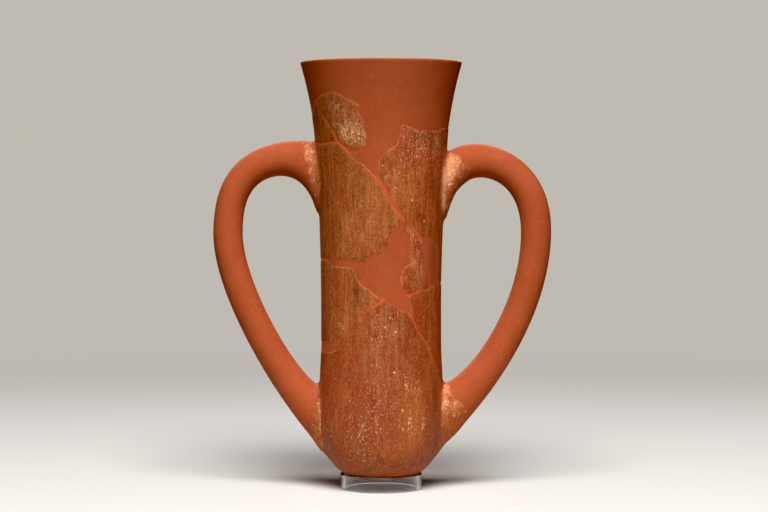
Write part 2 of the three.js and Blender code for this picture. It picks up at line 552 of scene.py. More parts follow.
LEFT_HANDLE = LoopHandle(
    side=-1,
    upper_root=(27.0, 204.2),
    crown=(85.0, 209.2),
    shoulder_height=183.2,
    reach=(93.5, 156.2),
    flank_height=129.2,
    turn=(71.0, 80.7),
    lower_root=(33.0, 32.7),
    lower_end=(17.0, 25.7),
    upper_flare=Flare(under=26.0, over=-3.2, length=10.5),
    lower_flare=Flare(under=20.0, over=-0.6, length=8.0),
)
RIGHT_HANDLE = LoopHandle(
    side=1,
    upper_root=(29.0, 204.2),
    crown=(83.5, 208.7),
    shoulder_height=180.2,
    reach=(94.5, 157.2),
    flank_height=122.7,
    turn=(77.0, 77.7),
    lower_root=(32.5, 34.7),
    lower_end=(21.0, 23.6),
    upper_flare=Flare(under=29.5, over=-9.5, length=10.3),
    lower_flare=Flare(under=21.7, over=0.9, length=10.7),
)


@dataclass(frozen=True)
class PhotoView:
    """Where the photograph was taken from, and how its pixels fall on the cup."""

    distance: float = 1400.0
    eye_height: float = 189.7
    aim_across: float = 1.7
    aim_height: float = 142.2
    lens: float = 107.6
    sensor: float = 36.0
    width: float = 768.0
    centre_column: float = 384.0
    eye_row: float = 178.0
    axis_column: float = 381.2
    floor_row: float = 489.1
    depth_rounds: int = 4

    @property
    def focal(self) -> float:
        """Focal length in pixels."""
        return self.lens * self.width / self.sensor

    @property
    def pixel_size(self) -> float:
        """Millimetres that a pixel covers at the cup's axis."""
        return self.distance / self.focal

    def on_wall(self, pixels: Sequence[Pair], wall: WallProfile) -> np.ndarray:
        """Places of the wall's front that pixels show.

        A pixel past the cup's outline goes on round the wall by its distance from the outline.

        Args:
            pixels: Columns and rows of the photograph.
            wall: The wall's profile.

        Returns:
            Angle from the front in radians, positive to the right, and height, of shape (n, 2).
        """
        spots = np.array(pixels, float)
        depth = np.full(len(spots), self.distance)
        for _ in range(self.depth_rounds):
            across = self.aim_across + (spots[:, 0] - self.centre_column) * depth / self.focal
            height = self.eye_height - (spots[:, 1] - self.eye_row) * depth / self.focal
            radius = wall.radius(height)
            sine = across / radius
            angle = np.arcsin(np.clip(sine, -1.0, 1.0))
            past = np.maximum(0.0, np.abs(sine) - 1.0)
            angle = angle + np.sign(sine) * past
            depth = self.distance - radius * np.cos(np.clip(angle, -np.pi / 2, np.pi / 2))
        return np.stack([angle, height], axis=1)

    def on_plane(self, pixels: Sequence[Pair]) -> np.ndarray:
        """Places in the handles' own plane that pixels show.

        Args:
            pixels: Columns and rows of the photograph.

        Returns:
            Distance across from the axis and height, of shape (n, 2).
        """
        spots = np.array(pixels, float)
        across = spots[:, 0] - self.axis_column
        up = self.floor_row - spots[:, 1]
        return np.stack([across, up], axis=1) * self.pixel_size


class Field(Enum):
    """The three distance fields that the sherds are shared among, so that no two neighbours are in one."""

    A = "sherd_a"
    B = "sherd_b"
    C = "sherd_c"


class Mark(Enum):
    """The other fields that the cup's mesh holds for its relief and its material."""

    STUB = "stub"
    CAST = "cast"
    SHADE = "shade"
    CRUST = "crust"
    FILM = "film"
    GOLD = "gold"
    STAIN_AND_SHADE = "stain"
    BLURRED = "blurred"
    PALE_AND_HIGHLIGHT = "pale"
    BY_FILL = "by_fill"


@dataclass(frozen=True)
class Sherd:
    """An old piece of the cup: its field, its cast from brown, -1, to red, 1, its outline and its shade.

    A front outline is in pixels of the photograph. A back outline is in degrees from the front and
    millimetres.
    """

    field: Field
    cast: float
    outline: tuple[Pair, ...]
    shade: float = 0.0
    at_back: bool = False


@dataclass(frozen=True)
class Spot:
    """A soft patch on the cup, in pixels of the photograph, with its height as a multiple of its width."""

    column: float
    row: float
    radius: float
    strength: float
    stretch: float = 1.0

    @property
    def place(self) -> Pair:
        """Column and row of its centre."""
        return self.column, self.row


SHERDS = (
    # Upper left
    Sherd(
        Field.A,
        cast=-0.6,
        outline=(
            (326, 92.5), (333, 91), (345, 98), (359, 105), (359, 114), (363, 119), (364, 128), (367, 134),
            (366, 140), (368, 145), (361, 149), (351, 150), (345, 146), (338, 141), (334, 131),
            (324.5, 116), (320, 110), (313, 112), (314.5, 104), (318, 97),
        ),
    ),
    # Left strip
    Sherd(
        Field.B,
        cast=-0.7,
        outline=(
            (292, 124), (310, 117), (313, 111), (314.5, 104), (318, 104), (319.5, 109.5), (324, 116),
            (333.5, 131), (337.5, 141), (331, 142), (323.5, 143), (315, 142), (292, 141),
        ),
    ),
    # Large left
    Sherd(
        Field.C,
        cast=-0.35,
        outline=(
            (292, 142), (315, 143), (323.5, 144), (331, 143), (338, 142), (349, 153.5), (357, 161),
            (365, 166), (371, 172), (377, 178), (385.2, 192), (392.2, 205.5), (402.2, 220), (398, 229),
            (394, 230), (388, 238), (383, 245), (383, 250), (378, 255.5), (371, 259.5), (359, 261.5),
            (349, 260.5), (333, 258.5), (326, 257.5), (318, 259), (292, 259.5),
        ),
    ),
    # Upper right
    Sherd(
        Field.A,
        cast=0.15,
        outline=(
            (401, 125), (406, 126), (416, 129), (429, 130.5), (435, 130.5), (445, 128), (470, 128),
            (470, 280), (438, 284), (437.5, 260), (436, 241), (430, 236.5), (422, 237), (414, 228),
            (406, 220), (395, 204.5), (388, 192), (380, 177), (378, 169), (378, 161), (382, 156.5),
            (388, 150), (396, 145), (398, 140), (400, 132),
        ),
    ),
    # Small middle
    Sherd(
        Field.B,
        cast=0.6,
        outline=(
            (404, 229), (410, 236), (411, 244), (410, 250), (411, 263), (404, 268), (400.5, 272),
            (400.5, 281), (402, 287), (408, 295), (413, 293.5), (421, 290), (430, 286), (426.5, 279),
            (425.5, 264), (425.5, 247), (422, 240), (415, 232), (408, 227),
        ),
    ),
    # Lower left
    Sherd(
        Field.A,
        cast=-0.45,
        outline=(
            (292, 260.5), (318, 260), (326, 259.5), (331, 263.5), (338, 266.3), (349, 267), (354, 270.5),
            (357, 278), (361, 284), (371, 291), (379, 297), (382, 299.5), (371, 306), (366, 310),
            (358.6, 318.5), (349.5, 327.5), (343, 335), (339, 340), (333, 342.5), (324, 342.5),
            (292, 342),
        ),
    ),
    # Large bottom
    Sherd(
        Field.B,
        cast=0.3,
        outline=(
            (383, 300.6), (392, 305), (399, 309.5), (407, 314), (410.3, 317.5), (416.4, 329.5),
            (423.9, 341.5), (430.4, 354.9), (433.5, 363.5), (440, 391.5), (470, 400), (470, 540),
            (292, 540), (292, 352), (324, 351), (330, 353), (336.6, 350.4), (341.2, 341), (343.8, 335.8),
            (350.3, 328.3), (359.2, 319.3), (366.6, 310.8), (371.6, 306.8),
        ),
        shade=0.24,
    ),
    # Lower right
    Sherd(
        Field.C,
        cast=0.7,
        outline=(
            (408, 296.5), (413, 294.5), (421, 291), (430.6, 287), (470, 282), (470, 399), (441, 391),
            (434, 363), (431, 354.5), (424.5, 341), (417, 329), (411, 317), (410.5, 305), (408.5, 299),
        ),
        shade=0.12,
    ),
    # Back upper
    Sherd(
        Field.B,
        cast=0.2,
        outline=(
            (121, 190), (132, 198), (139, 213), (158, 217), (164, 209), (181, 205), (197, 212),
            (207, 226), (226, 220), (239, 204), (240, 152), (228, 147), (219, 139), (203, 142),
            (191, 150), (180, 147), (172, 134.5), (155, 131.5), (140, 139.5), (122, 133.5),
        ),
        shade=0.12,
        at_back=True,
    ),
    # Back lower left
    Sherd(
        Field.C,
        cast=-0.3,
        outline=(
            (122, 131.5), (140, 137.5), (155, 129.5), (171, 132), (176, 112), (168, 84), (180, 52),
            (176, -40), (118, -40), (121, 60),
        ),
        at_back=True,
    ),
    # Back lower right
    Sherd(
        Field.A,
        cast=0.05,
        outline=(
            (186, 118), (205, 126), (223, 134), (239, 128), (242, 60), (240, -40), (177, -40), (181, 53),
            (190, 70), (184, 96),
        ),
        at_back=True,
    ),
)

# Where pale crust clings to the sherds
CRUST_SPOTS = (
    Spot(352, 132, 12, 1.2),
    Spot(342, 124, 10, 0.3),
    Spot(334, 104, 16, 0.65),
    Spot(360, 136, 6, 0.6),
    Spot(420, 138, 20, 0.75),
    Spot(438, 146, 7, 0.6, stretch=2.5),
    Spot(404, 170, 22, 0.4),
    Spot(410, 233, 5, 0.8),
    Spot(417, 237, 5, 0.7),
    Spot(422, 246, 4, 0.6),
    Spot(415, 262, 7, 0.4, stretch=3.0),
    Spot(386, 322, 20, 0.35),
    Spot(341, 328, 9, 0.5),
    Spot(366, 420, 28, 0.3),
    Spot(380, 395, 46, 0.25, stretch=1.4),
    Spot(360, 455, 18, 0.35),
    Spot(412, 428, 8, 0.5),
    Spot(422.8, 425, 2.5, 0.9, stretch=4.0),
    Spot(405.5, 385, 2.5, 0.8, stretch=5.0),
    Spot(410, 418, 2.5, 0.6, stretch=4.0),
    Spot(416, 390, 4, 0.5, stretch=4.0),
    Spot(328, 430, 6, 0.5, stretch=2.0),
)

# Where a thin pinkish film veils the sherds
FILM_SPOTS = (
    Spot(346, 127, 16, 0.9),
    Spot(408, 185, 15, 0.6, stretch=1.5),
    Spot(415, 140, 18, 0.5),
    Spot(352, 232, 14, 0.6, stretch=1.6),
    Spot(372, 232, 12, 0.5, stretch=1.5),
    Spot(392, 178, 11, 0.6, stretch=1.5),
    Spot(417, 256, 10, 1.0, stretch=2.5),
    Spot(332, 292, 5, 0.5, stretch=5.0),
    Spot(386, 324, 22, 0.7),
    Spot(376, 346, 20, 0.55),
    Spot(392, 380, 24, 0.4),
    Spot(330, 425, 8, 0.4, stretch=2.0),
)

# Where the sherds turn red
RED_SPOTS = (
    Spot(365, 400, 24, 0.9),
    Spot(352, 408, 14, 0.5),
    Spot(398, 395, 16, 0.4),
    Spot(418, 165, 26, 0.4),
    Spot(435, 345, 10, 0.7, stretch=2.0),
)

# Where the sherds turn golden
GOLD_SPOTS = (
    Spot(362, 146, 5, 0.9),
    Spot(340, 324, 10, 0.5),
    Spot(330, 360, 12, 0.4),
    Spot(416, 405, 17, 0.8, stretch=1.5),
    Spot(408, 185, 16, 0.7, stretch=1.4),
    Spot(412, 440, 16, 0.7),
    Spot(396, 455, 22, 0.6, stretch=0.5),
)

# Dark stains, and painted shade on the fill near the right outline
STAIN_AND_SHADE_SPOTS = (
    Spot(356.7, 291, 4, 0.7),
    Spot(386, 245, 2.2, 0.8),
    Spot(424, 136, 14, 0.35, stretch=0.5),
    # Painted shade: darkens the fill strip by the right outline
    Spot(433, 258, 6, 0.35, stretch=3.5),
    Spot(435, 402, 4, 0.6, stretch=4.0),
    Spot(326, 325, 4, 0.4, stretch=3.0),
    Spot(372, 408, 20, 0.16),
)

# Single pale flecks on the front, as column, row and radius
FLECKS = (
    (395.5, 187.5, 1.0),
    (383, 165.5, 0.7),
    (369, 169.5, 0.7),
    (394, 170, 0.7),
    (412, 200, 1.2),
    (424, 221, 0.7),
    (427, 159, 0.8),
    (345, 195, 0.6),
    (390, 318, 0.9),
    (371.5, 339.5, 0.8),
    (373.5, 339, 0.6),
    (378.5, 338, 0.7),
    (396, 333, 0.8),
    (394.5, 372.7, 1.15),
    (402.7, 410.8, 1.1),
    (384, 385, 0.7),
    (403, 429.5, 0.7),
    (436, 414, 0.8),
    (407.5, 468.5, 0.7),
    (327, 260, 0.8),
)

# Where the old clay at the handles' roots is palest, with a painted highlight on the top of the right upper
# root
PALE_AND_HIGHLIGHT_SPOTS = (
    Spot(308, 152, 7, 0.4, stretch=1.3),
    Spot(312, 172, 5, 0.25, stretch=2.0),
    # Partly a painted highlight on the top of the right upper root
    Spot(453, 162, 8, 0.65),
    Spot(447, 176, 6, 0.9, stretch=1.4),
    Spot(442.5, 198, 2.5, 0.9, stretch=5.0),
    Spot(320.3, 408, 1.1, 0.7, stretch=5.0),
    Spot(321.6, 424, 1.1, 0.8, stretch=7.0),
    Spot(323, 440, 1.1, 0.7, stretch=5.0),
    Spot(446, 388, 5, 0.4, stretch=1.6),
    Spot(444, 405, 3, 0.5, stretch=5.0),
    Spot(456, 402, 7, 0.35, stretch=0.8),
)

# Where a sherd passes into the fill or into its neighbour without a visible edge
BLURRED_SPOTS = (
    Spot(437, 258, 8, 1.0, stretch=3.5),
    Spot(432, 236, 6, 0.9),
    Spot(362, 316, 9, 0.45),
    Spot(350, 326, 9, 0.6),
    Spot(341, 337, 8, 0.5),
    Spot(426, 288, 6, 0.6),
    Spot(437, 371, 6, 0.9),
    Spot(440, 384, 9, 1.0),
)

# Marks that are sums of soft patches on the wall
WALL_MARKS = {
    Mark.CRUST: CRUST_SPOTS,
    Mark.FILM: FILM_SPOTS,
    Mark.GOLD: GOLD_SPOTS,
    Mark.STAIN_AND_SHADE: STAIN_AND_SHADE_SPOTS,
    Mark.BLURRED: BLURRED_SPOTS,
}


@dataclass(frozen=True)
class Stub:
    """Old clay left on a handle's root.

    Its edge is in pixels of the photograph, from top to bottom, and it runs a little way onto the wall.
    """

    edge: tuple[Pair, ...]
    on_wall: float = 1.2


STUBS = (
    Stub(
        (
            (296, 128), (301, 142), (305, 149), (305, 157), (308, 166.5), (309.5, 180), (310, 191),
            (318.6, 204.6),
        ),
    ),
    Stub(
        ((440, 146), (445, 150), (453, 153), (460, 157), (461.5, 161.5), (469, 169), (469, 176), (466, 190)),
        on_wall=4.5,
    ),
    Stub(((321, 386), (319, 394), (316, 403), (314, 409), (312, 420.5), (312, 433), (313, 448))),
    Stub(((446, 374), (448, 383), (452.5, 395), (461, 402), (465, 406.5), (470, 415), (476, 424))),
)


def path_distance(points: np.ndarray, path: np.ndarray) -> np.ndarray:
    """Distance from a line of straight stretches: the nearest place between the ends of each stretch.

    Args:
        points: Places of shape (n, 2).
        path: Points of the line, of shape (m, 2).

    Returns:
        Distances of shape (n,).
    """
    nearest = np.full(len(points), np.inf)
    for start, end in zip(path[:-1], path[1:]):
        edge = end - start
        to_point = points - start
        share = np.clip(to_point @ edge / (edge @ edge), 0.0, 1.0)
        nearest = np.minimum(nearest, np.linalg.norm(to_point - share[:, None] * edge, axis=1))
    return nearest


def outline_distance(points: np.ndarray, outline: np.ndarray) -> np.ndarray:
    """Signed distance from a closed outline, positive inside: nearest edge, with the sign by crossings.

    Args:
        points: Places of shape (n, 2).
        outline: Corners of shape (m, 2).

    Returns:
        Distances of shape (n,).
    """
    closed = np.concatenate([outline, outline[:1]])
    across, up = points.T
    inside = np.zeros(len(points), bool)
    for start, end in zip(closed[:-1], closed[1:]):
        run, rise = end - start
        crosses = (start[1] > up) != (end[1] > up)
        place = start[0] + (up - start[1]) / (rise or 1.0) * run
        inside ^= crosses & (across < place)
    nearest = path_distance(points, closed)
    return np.where(inside, nearest, -nearest)


def line_side(points: np.ndarray, line: np.ndarray, towards: float) -> np.ndarray:
    """Signed distance from an open line that runs downwards, positive on the side nearer the axis.

    Args:
        points: Places of shape (n, 2).
        line: Points of the line, of shape (m, 2), from top to bottom.
        towards: -1 if the axis lies at smaller x than the line, 1 if at larger x.

    Returns:
        Distances of shape (n,).
    """
    nearest = path_distance(points, line)
    place = np.interp(points[:, 1], line[::-1, 1], line[::-1, 0])
    return np.where((points[:, 0] - place) * towards > 0, nearest, -nearest)


@dataclass(frozen=True)
class Relief:
    """Low relief of the mended surface, as heights along its normal.

    Sherds stand a little proud of the fill with a groove at their edges, their burnish leaves long shallow
    facets, and old clay is rough where the fill is smooth.
    """

    sherd_edge: Pair = (-0.3, 0.8)
    sherd_rise: float = 0.22
    groove_depth: float = 0.14
    groove_width: float = 0.7
    facets: Layer = Layer(0.10, (4.5, 4.5, 70.0))
    strokes: Layer = Layer(0.05, (1.6, 1.6, 14.0), 53.0)
    grit: Layer = Layer(0.06, 2.4, 17.0)
    bare_grit: float = 0.6
    crust_grit: float = 1.6
    chips: Pits = Pits(0.22, (2.0, 2.0, 3.0), 401.0, (0.62, 0.85))
    waves: Layer = Layer(0.05, 16.0, 71.0)
    brush_lines: Layer = Layer(0.018, (40.0, 40.0, 1.7), 5.0)
    brushed_zone: Pair = (205.0, 225.0)
    stub_edge: Pair = (-0.3, 0.6)
    stub_rise: float = 0.2
    stub_lumps: Layer = Layer(0.22, 2.6, 151.0)
    stub_grain: Layer = Layer(0.12, 1.3, 311.0)
    stub_pits: Pits = Pits(0.25, 2.2, 601.0, (0.55, 0.8))
    sway: Layer = Layer(0.25, 45.0, 811.0)
    sway_zone: Pair = (4.0, 30.0)

    def height(self, points: np.ndarray, marks: dict[Enum, np.ndarray], noise: LatticeNoise) -> np.ndarray:
        """Adds up the relief of sherds, fill and stubs, each by how far the point lies on it.

        Args:
            points: Places of shape (n, 3).
            marks: The surface's fields.
            noise: Noise for the irregular parts.

        Returns:
            Heights in millimetres, of shape (n,).
        """
        up = points[:, 2]
        sherd = np.maximum.reduce([marks[kind] for kind in Field])
        old = smoothstep(*self.sherd_edge, sherd)
        stub = smoothstep(*self.stub_edge, marks[Mark.STUB])
        plain = 1.0 - np.maximum(old, stub)

        on_sherd = self.sherd_rise + self.facets(points, noise) + self.strokes(points, noise)
        on_sherd += self.grit(points, noise) * (self.bare_grit + self.crust_grit * marks[Mark.CRUST])
        on_sherd -= self.chips(points, noise)
        on_fill = self.waves(points, noise)
        on_fill += self.brush_lines(points, noise) * smoothstep(*self.brushed_zone, up)
        on_stub = self.stub_rise + self.stub_lumps(points, noise) + self.stub_grain(points, noise)
        on_stub -= self.stub_pits(points, noise)

        groove = self.groove_depth * np.exp(-((sherd / self.groove_width) ** 2))
        sway = self.sway(points, noise) * smoothstep(*self.sway_zone, up)
        return old * on_sherd + plain * on_fill + stub * on_stub - groove + sway


@dataclass(frozen=True)
class Mending:
    """How the old sherds lie in the fill, as fields over the surface of the cup."""

    wall: WallProfile
    view: PhotoView
    relief: Relief = Relief()
    nominal_radius: float = 37.0
    far: float = 40.0
    coarse_edge: Layer = Layer(0.5, 5.0)
    fine_edge: Layer = Layer(0.3, 1.8)
    edge_offsets: Pair = (31.0, 97.0)
    stub_edge: Layer = Layer(0.6, 3.0, 211.0)
    stub_reach: float = 50.0
    handle_drop: float = 12.0
    neighbour_limits: Pair = (-1.0, -2.6)

    def unrolled(self, points: np.ndarray) -> np.ndarray:
        """Angle from the front in radians and height, for points of shape (n, 3)."""
        return np.stack([np.arctan2(points[:, 0], -points[:, 1]), points[:, 2]], axis=1)

    def sherd_fields(
        self, points: np.ndarray, noise: LatticeNoise
    ) -> tuple[dict[Enum, np.ndarray], np.ndarray, np.ndarray]:
        """Distance inside the sherds of each field, and the cast and shade of the nearest sherd.

        Args:
            points: Places of shape (n, 3).
            noise: Noise that makes the broken edges ragged.

        Returns:
            Distances in millimetres by field, positive inside a sherd, the cast from -1 to 1 and the shade.
        """
        spread = self.unrolled(points)
        shake = np.stack(
            [
                self.coarse_edge(points + offset, noise) + self.fine_edge(points - offset, noise)
                for offset in self.edge_offsets
            ],
            axis=1,
        )
        fields = {kind: np.full(len(points), -self.far) for kind in Field}
        best = np.full(len(points), -np.inf)
        cast = np.zeros(len(points))
        shade = np.zeros(len(points))
        for sherd in SHERDS:
            if sherd.at_back:
                outline = np.array(sherd.outline, float) * (np.pi / 180.0, 1.0)
            else:
                outline = self.view.on_wall(sherd.outline, self.wall)
            middle = (outline[:, 0].min() + outline[:, 0].max()) / 2.0
            angle = (spread[:, 0] - middle + np.pi) % (2.0 * np.pi) - np.pi + middle
            place = np.stack([angle * self.nominal_radius, spread[:, 1]], axis=1) + shake
            distance = outline_distance(place, outline * (self.nominal_radius, 1.0))
            fields[sherd.field] = np.maximum(fields[sherd.field], distance)
            nearer = distance > best
            best = np.where(nearer, distance, best)
            cast = np.where(nearer, sherd.cast, cast)
            shade = np.where(nearer, sherd.shade, shade)
        return fields, cast, shade

    def patches(
        self, places: np.ndarray, centres: np.ndarray, scale: Pair, spots: Sequence[Spot]
    ) -> np.ndarray:
        """Sum of soft patches, each strength * exp(-(x/radius)^2 - (z/(radius*stretch))^2).

        Args:
            places: Places on the surface, across and up, of shape (n, 2).
            centres: Centres of the patches in the same units, of shape (m, 2).
            scale: Millimetres for each unit across and up.
            spots: The patches.

        Returns:
            Strengths of shape (n,).
        """
        total = np.zeros(len(places))
        for spot, centre in zip(spots, centres):
            across, up = ((places - centre) * scale).T
            radius = spot.radius * self.view.pixel_size
            total += spot.strength * np.exp(-((across / radius) ** 2) - (up / (radius * spot.stretch)) ** 2)
        return total

    def wall_spots(self, points: np.ndarray, spots: Sequence[Spot]) -> np.ndarray:
        """Sum of soft patches on the wall's front, for points of shape (n, 3)."""
        centres = self.view.on_wall([spot.place for spot in spots], self.wall)
        return self.patches(self.unrolled(points), centres, (self.nominal_radius, 1.0), spots)

    def root_spots(self, points: np.ndarray, spots: Sequence[Spot]) -> np.ndarray:
        """Sum of soft patches in the handles' plane, for points of shape (n, 3)."""
        centres = self.view.on_plane([spot.place for spot in spots])
        return self.patches(points[:, (0, 2)], centres, (1.0, 1.0), spots)

    def flecks(self) -> list[tuple[Vector, float]]:
        """Finds the single flecks on the wall.

        Returns:
            Their places and radii, in metres.
        """
        found = self.view.on_wall([(column, row) for column, row, _ in FLECKS], self.wall)
        result = []
        for (angle, height), (_, _, radius) in zip(found, FLECKS):
            reach = self.wall.radius(height) + self.relief.sherd_rise
            place = Vector((reach * np.sin(angle), -reach * np.cos(angle), height)) * METRES
            result.append((place, radius * self.view.pixel_size * METRES))
        return result

    def stub(self, points: np.ndarray, root_gap: np.ndarray, noise: LatticeNoise) -> np.ndarray:
        """Distance inside the old clay at the handles' roots, positive on it.

        Args:
            points: Places of shape (n, 3).
            root_gap: Distance of each point from the handles, 0 on them.
            noise: Noise that makes the edge ragged.

        Returns:
            Distances of shape (n,).
        """
        flat = points[:, (0, 2)] + self.stub_edge(points, noise)[:, None]
        result = np.full(len(points), -self.far)
        for stub in STUBS:
            line = self.view.on_plane(stub.edge)
            side = np.sign(line[0, 0])
            near = np.abs(points[:, 2] - line[:, 1].mean()) < self.stub_reach
            near &= points[:, 0] * side > 0
            distance = np.minimum(line_side(flat, line, -side), stub.on_wall - root_gap)
            result = np.maximum(result, np.where(near, distance, -self.far))
        return result

    def marks(
        self,
        points: np.ndarray,
        wall_gap: np.ndarray,
        root_gap: np.ndarray,
        inside: np.ndarray,
        noise: LatticeNoise,
    ) -> dict[Enum, np.ndarray]:
        """All fields of the surface. Sherds end where a handle leaves the wall, and the inside has none.

        Args:
            points: Places of shape (n, 3).
            wall_gap: Signed distance of each point from the outer wall.
            root_gap: Signed distance of each point from the handles.
            inside: Whether each point lies on the cup's inside.
            noise: Noise that makes the broken edges ragged.

        Returns:
            Values of shape (n,) by field.
        """
        fields, cast, shade = self.sherd_fields(points, noise)
        drop = self.handle_drop * np.maximum(0.0, wall_gap)
        found = {kind: np.where(inside, -self.far, values - drop) for kind, values in fields.items()}
        stub = self.stub(points, np.maximum(0.0, root_gap), noise)
        found[Mark.STUB] = np.where(inside, -self.far, stub)
        found[Mark.CAST] = cast + self.wall_spots(points, RED_SPOTS)
        found[Mark.SHADE] = shade
        for mark, spots in WALL_MARKS.items():
            found[mark] = np.clip(self.wall_spots(points, spots), 0.0, 1.0)
        found[Mark.PALE_AND_HIGHLIGHT] = np.clip(self.root_spots(points, PALE_AND_HIGHLIGHT_SPOTS), 0.0, 1.0)
        by_rank = np.sort(np.stack([found[kind] for kind in Field]), axis=0)
        found[Mark.BY_FILL] = smoothstep(*self.neighbour_limits, by_rank[1])
        return found


@dataclass
class Cup:
    """The hollow clay cup with its two handles."""

    wall: WallProfile
    handles: tuple[LoopHandle, ...]
    mending: Mending
    columns: int = 288
    outer_rows: int = 232
    inner_rows: int = 46
    lip_rows: int = 4
    foot_rows: int = 3
    rib_count: int = 84
    rib_sides: int = 40
    core_columns: int = 96
    core_rows: int = 58
    core_depth: float = 0.5
    fillet: float = 4.0
    fillet_floor: float = 10.8
    fillet_rounds: int = 3
    fillet_step: float = 0.05
    least_slope: float = 0.2
    longest_move: float = 1.0
    inside_depth: float = 2.25
    lining: Layer = Layer(0.3, 22.0)
    seed: int = 7

    def wall_profile(self) -> np.ndarray:
        """Whole profile: out along the foot, up the outer wall, over the lip and down to the inner floor.

        Returns:
            Radius and height of the points, of shape (n, 2).
        """
        outer = evenly(self.wall.line(0.0), self.outer_rows)
        inner = evenly(self.wall.line(1.0)[::-1], self.inner_rows)
        share = np.linspace(0.0, 1.0, self.foot_rows + 1)[1:-1, None]
        foot = outer[0] * (share * (1.0, 0.0) + (0.0, 1.0))
        floor = inner[-1] * (share[::-1] * (1.0, 0.0) + (0.0, 1.0))
        return np.concatenate([foot, outer, self.wall.lip(self.lip_rows), inner, floor])

    def joined_object(self, name: str) -> bpy.types.Object:
        """Vessel and handles as one closed mesh.

        A filled form that follows the middle of the wall first cuts off the handles' hidden ends.

        Args:
            name: Name of the finished piece.

        Returns:
            The joined object.
        """
        cup = turned_solid(name, self.wall_profile(), self.columns)
        core = evenly(self.wall.line(self.core_depth), self.core_rows)
        for number, handle in enumerate(self.handles):
            skin = handle.skin(self.wall, self.rib_count, self.rib_sides)
            loop = new_mesh_object(f"loop_{number}", *skin)
            join(loop, turned_solid("core", core, self.core_columns), Joining.DIFFERENCE)
            join(cup, loop, Joining.UNION)
        return cup

    def handle_gap(self, points: np.ndarray) -> np.ndarray:
        """Distance from the nearer handle, for points of shape (n, 3)."""
        return np.minimum.reduce([handle.gap(points, self.wall) for handle in self.handles])

    def blended_gap(self, points: np.ndarray) -> np.ndarray:
        """Distance from wall and handles with the angle between them filled.

        It is the smaller distance less (k - |difference|)^2 / 4k, where k is the fillet's size.

        Args:
            points: Places of shape (n, 3).

        Returns:
            Distances of shape (n,).
        """
        wall = self.wall.gap(points)
        loop = self.handle_gap(points)
        near = np.maximum(0.0, self.fillet - np.abs(wall - loop))
        return np.minimum(wall, loop) - near * near / (4.0 * self.fillet)

    def filleted(self, points: np.ndarray) -> np.ndarray:
        """Moves the points at the handles' roots out onto the blended surface, by Newton steps.

        Args:
            points: Places of shape (n, 3).

        Returns:
            Moved places of the same shape.
        """
        moved = points.copy()
        reach = np.abs(self.wall.gap(points)) < self.fillet
        reach &= np.abs(self.handle_gap(points)) < self.fillet
        reach &= points[:, 2] > self.fillet_floor
        chosen = points[reach]
        steps = self.fillet_step * np.eye(3)
        for _ in range(self.fillet_rounds):
            value = np.clip(self.blended_gap(chosen), -self.longest_move, self.longest_move)
            rises = [self.blended_gap(chosen + step) - self.blended_gap(chosen - step) for step in steps]
            slope = np.stack(rises, axis=1) / (2.0 * self.fillet_step)
            length = np.maximum((slope * slope).sum(axis=1), self.least_slope)
            chosen = chosen - slope * value[:, None] / length[:, None]
        moved[reach] = chosen
        return moved

    def build(self, name: str) -> bpy.types.Object:
        """Builds the finished cup with its relief and the fields that its material reads.

        Args:
            name: Name of the piece.

        Returns:
            The cup as one object.
        """
        cup = self.joined_object(name)
        mesh = cup.data
        flat = np.empty(len(mesh.vertices) * 3, np.float32)
        mesh.vertices.foreach_get("co", flat)
        points = self.filleted(flat.reshape(-1, 3).astype(float) / METRES)
        place_points(mesh, points)
        mesh.vertices.foreach_get("normal", flat)
        normals = flat.reshape(-1, 3).astype(float)

        noise = LatticeNoise(self.seed)
        wall_gap = self.wall.gap(points)
        inside = wall_gap < -self.inside_depth
        marks = self.mending.marks(points, wall_gap, self.handle_gap(points), inside, noise)
        relief = self.mending.relief.height(points, marks, noise)
        height = np.where(inside, self.lining(points, noise), relief)
        place_points(mesh, points + normals * height[:, None])
        for mark, values in marks.items():
            layer = mesh.attributes.new(mark.value, "FLOAT", "POINT")
            layer.data.foreach_set("value", values.astype(np.float32))
        mesh.shade_smooth()
        mesh.update()
        return cup


@dataclass
class StandRing:
    """The short length of clear tube under the cup, with rounded edges."""

    outer_radius: float = 25.0
    inner_radius: float = 22.5
    height: float = 9.2
    edge: float = 0.4
    columns: int = 160
    edge_steps: int = 4
    edge_guard: float = 0.15

    def section(self) -> np.ndarray:
        """Closed outline of the tube's wall, anticlockwise.

        Quarter rounds are joined by straight runs, with a guard point near each end of a run.

        Returns:
            Radius and height of the points, of shape (n, 2).
        """
        quarter = np.linspace(0.0, np.pi / 2.0, self.edge_steps + 1)
        low, high = self.edge, self.height - self.edge
        inner, outer = self.inner_radius + self.edge, self.outer_radius - self.edge
        centres = ((outer, low), (outer, high), (inner, high), (inner, low))
        corners = []
        for number, centre in enumerate(centres):
            angle = quarter + (number - 1) * np.pi / 2.0
            corners.append(centre + self.edge * np.stack([np.cos(angle), np.sin(angle)], axis=1))
        outline = []
        for corner, following in zip(corners, corners[1:] + corners[:1]):
            run = following[0] - corner[-1]
            guard = run / np.linalg.norm(run) * self.edge_guard
            outline += [corner, [corner[-1] + guard, following[0] - guard]]
        return np.concatenate(outline)

    def build(self, name: str) -> bpy.types.Object:
        """Turns the section about the axis: (r cos a, r sin a, z).

        Args:
            name: Name of the piece.

        Returns:
            The ring as one object.
        """
        rings = turned(self.section(), self.columns)
        faces = quad_bands(len(rings), self.columns, closed=True)
        return new_mesh_object(name, rings.reshape(-1, 3), faces.tolist())


@dataclass(frozen=True)
class Pattern:
    """A noise pattern: cells for each metre, finer layers and their strength, and its pace on each axis."""

    cells: float
    layers: float
    strength: float = 0.55
    pace: Triple = (1.0, 1.0, 1.0)


@dataclass(frozen=True)
class Wash:
    """A wash of colour: the values at which it starts and is full, and how much it covers there."""

    start: float
    full: float
    cover: float

    def on(self, value: Socket) -> Socket:
        """How much the wash covers where a pattern has that value."""
        return value.eased(self.start, self.full) * self.cover


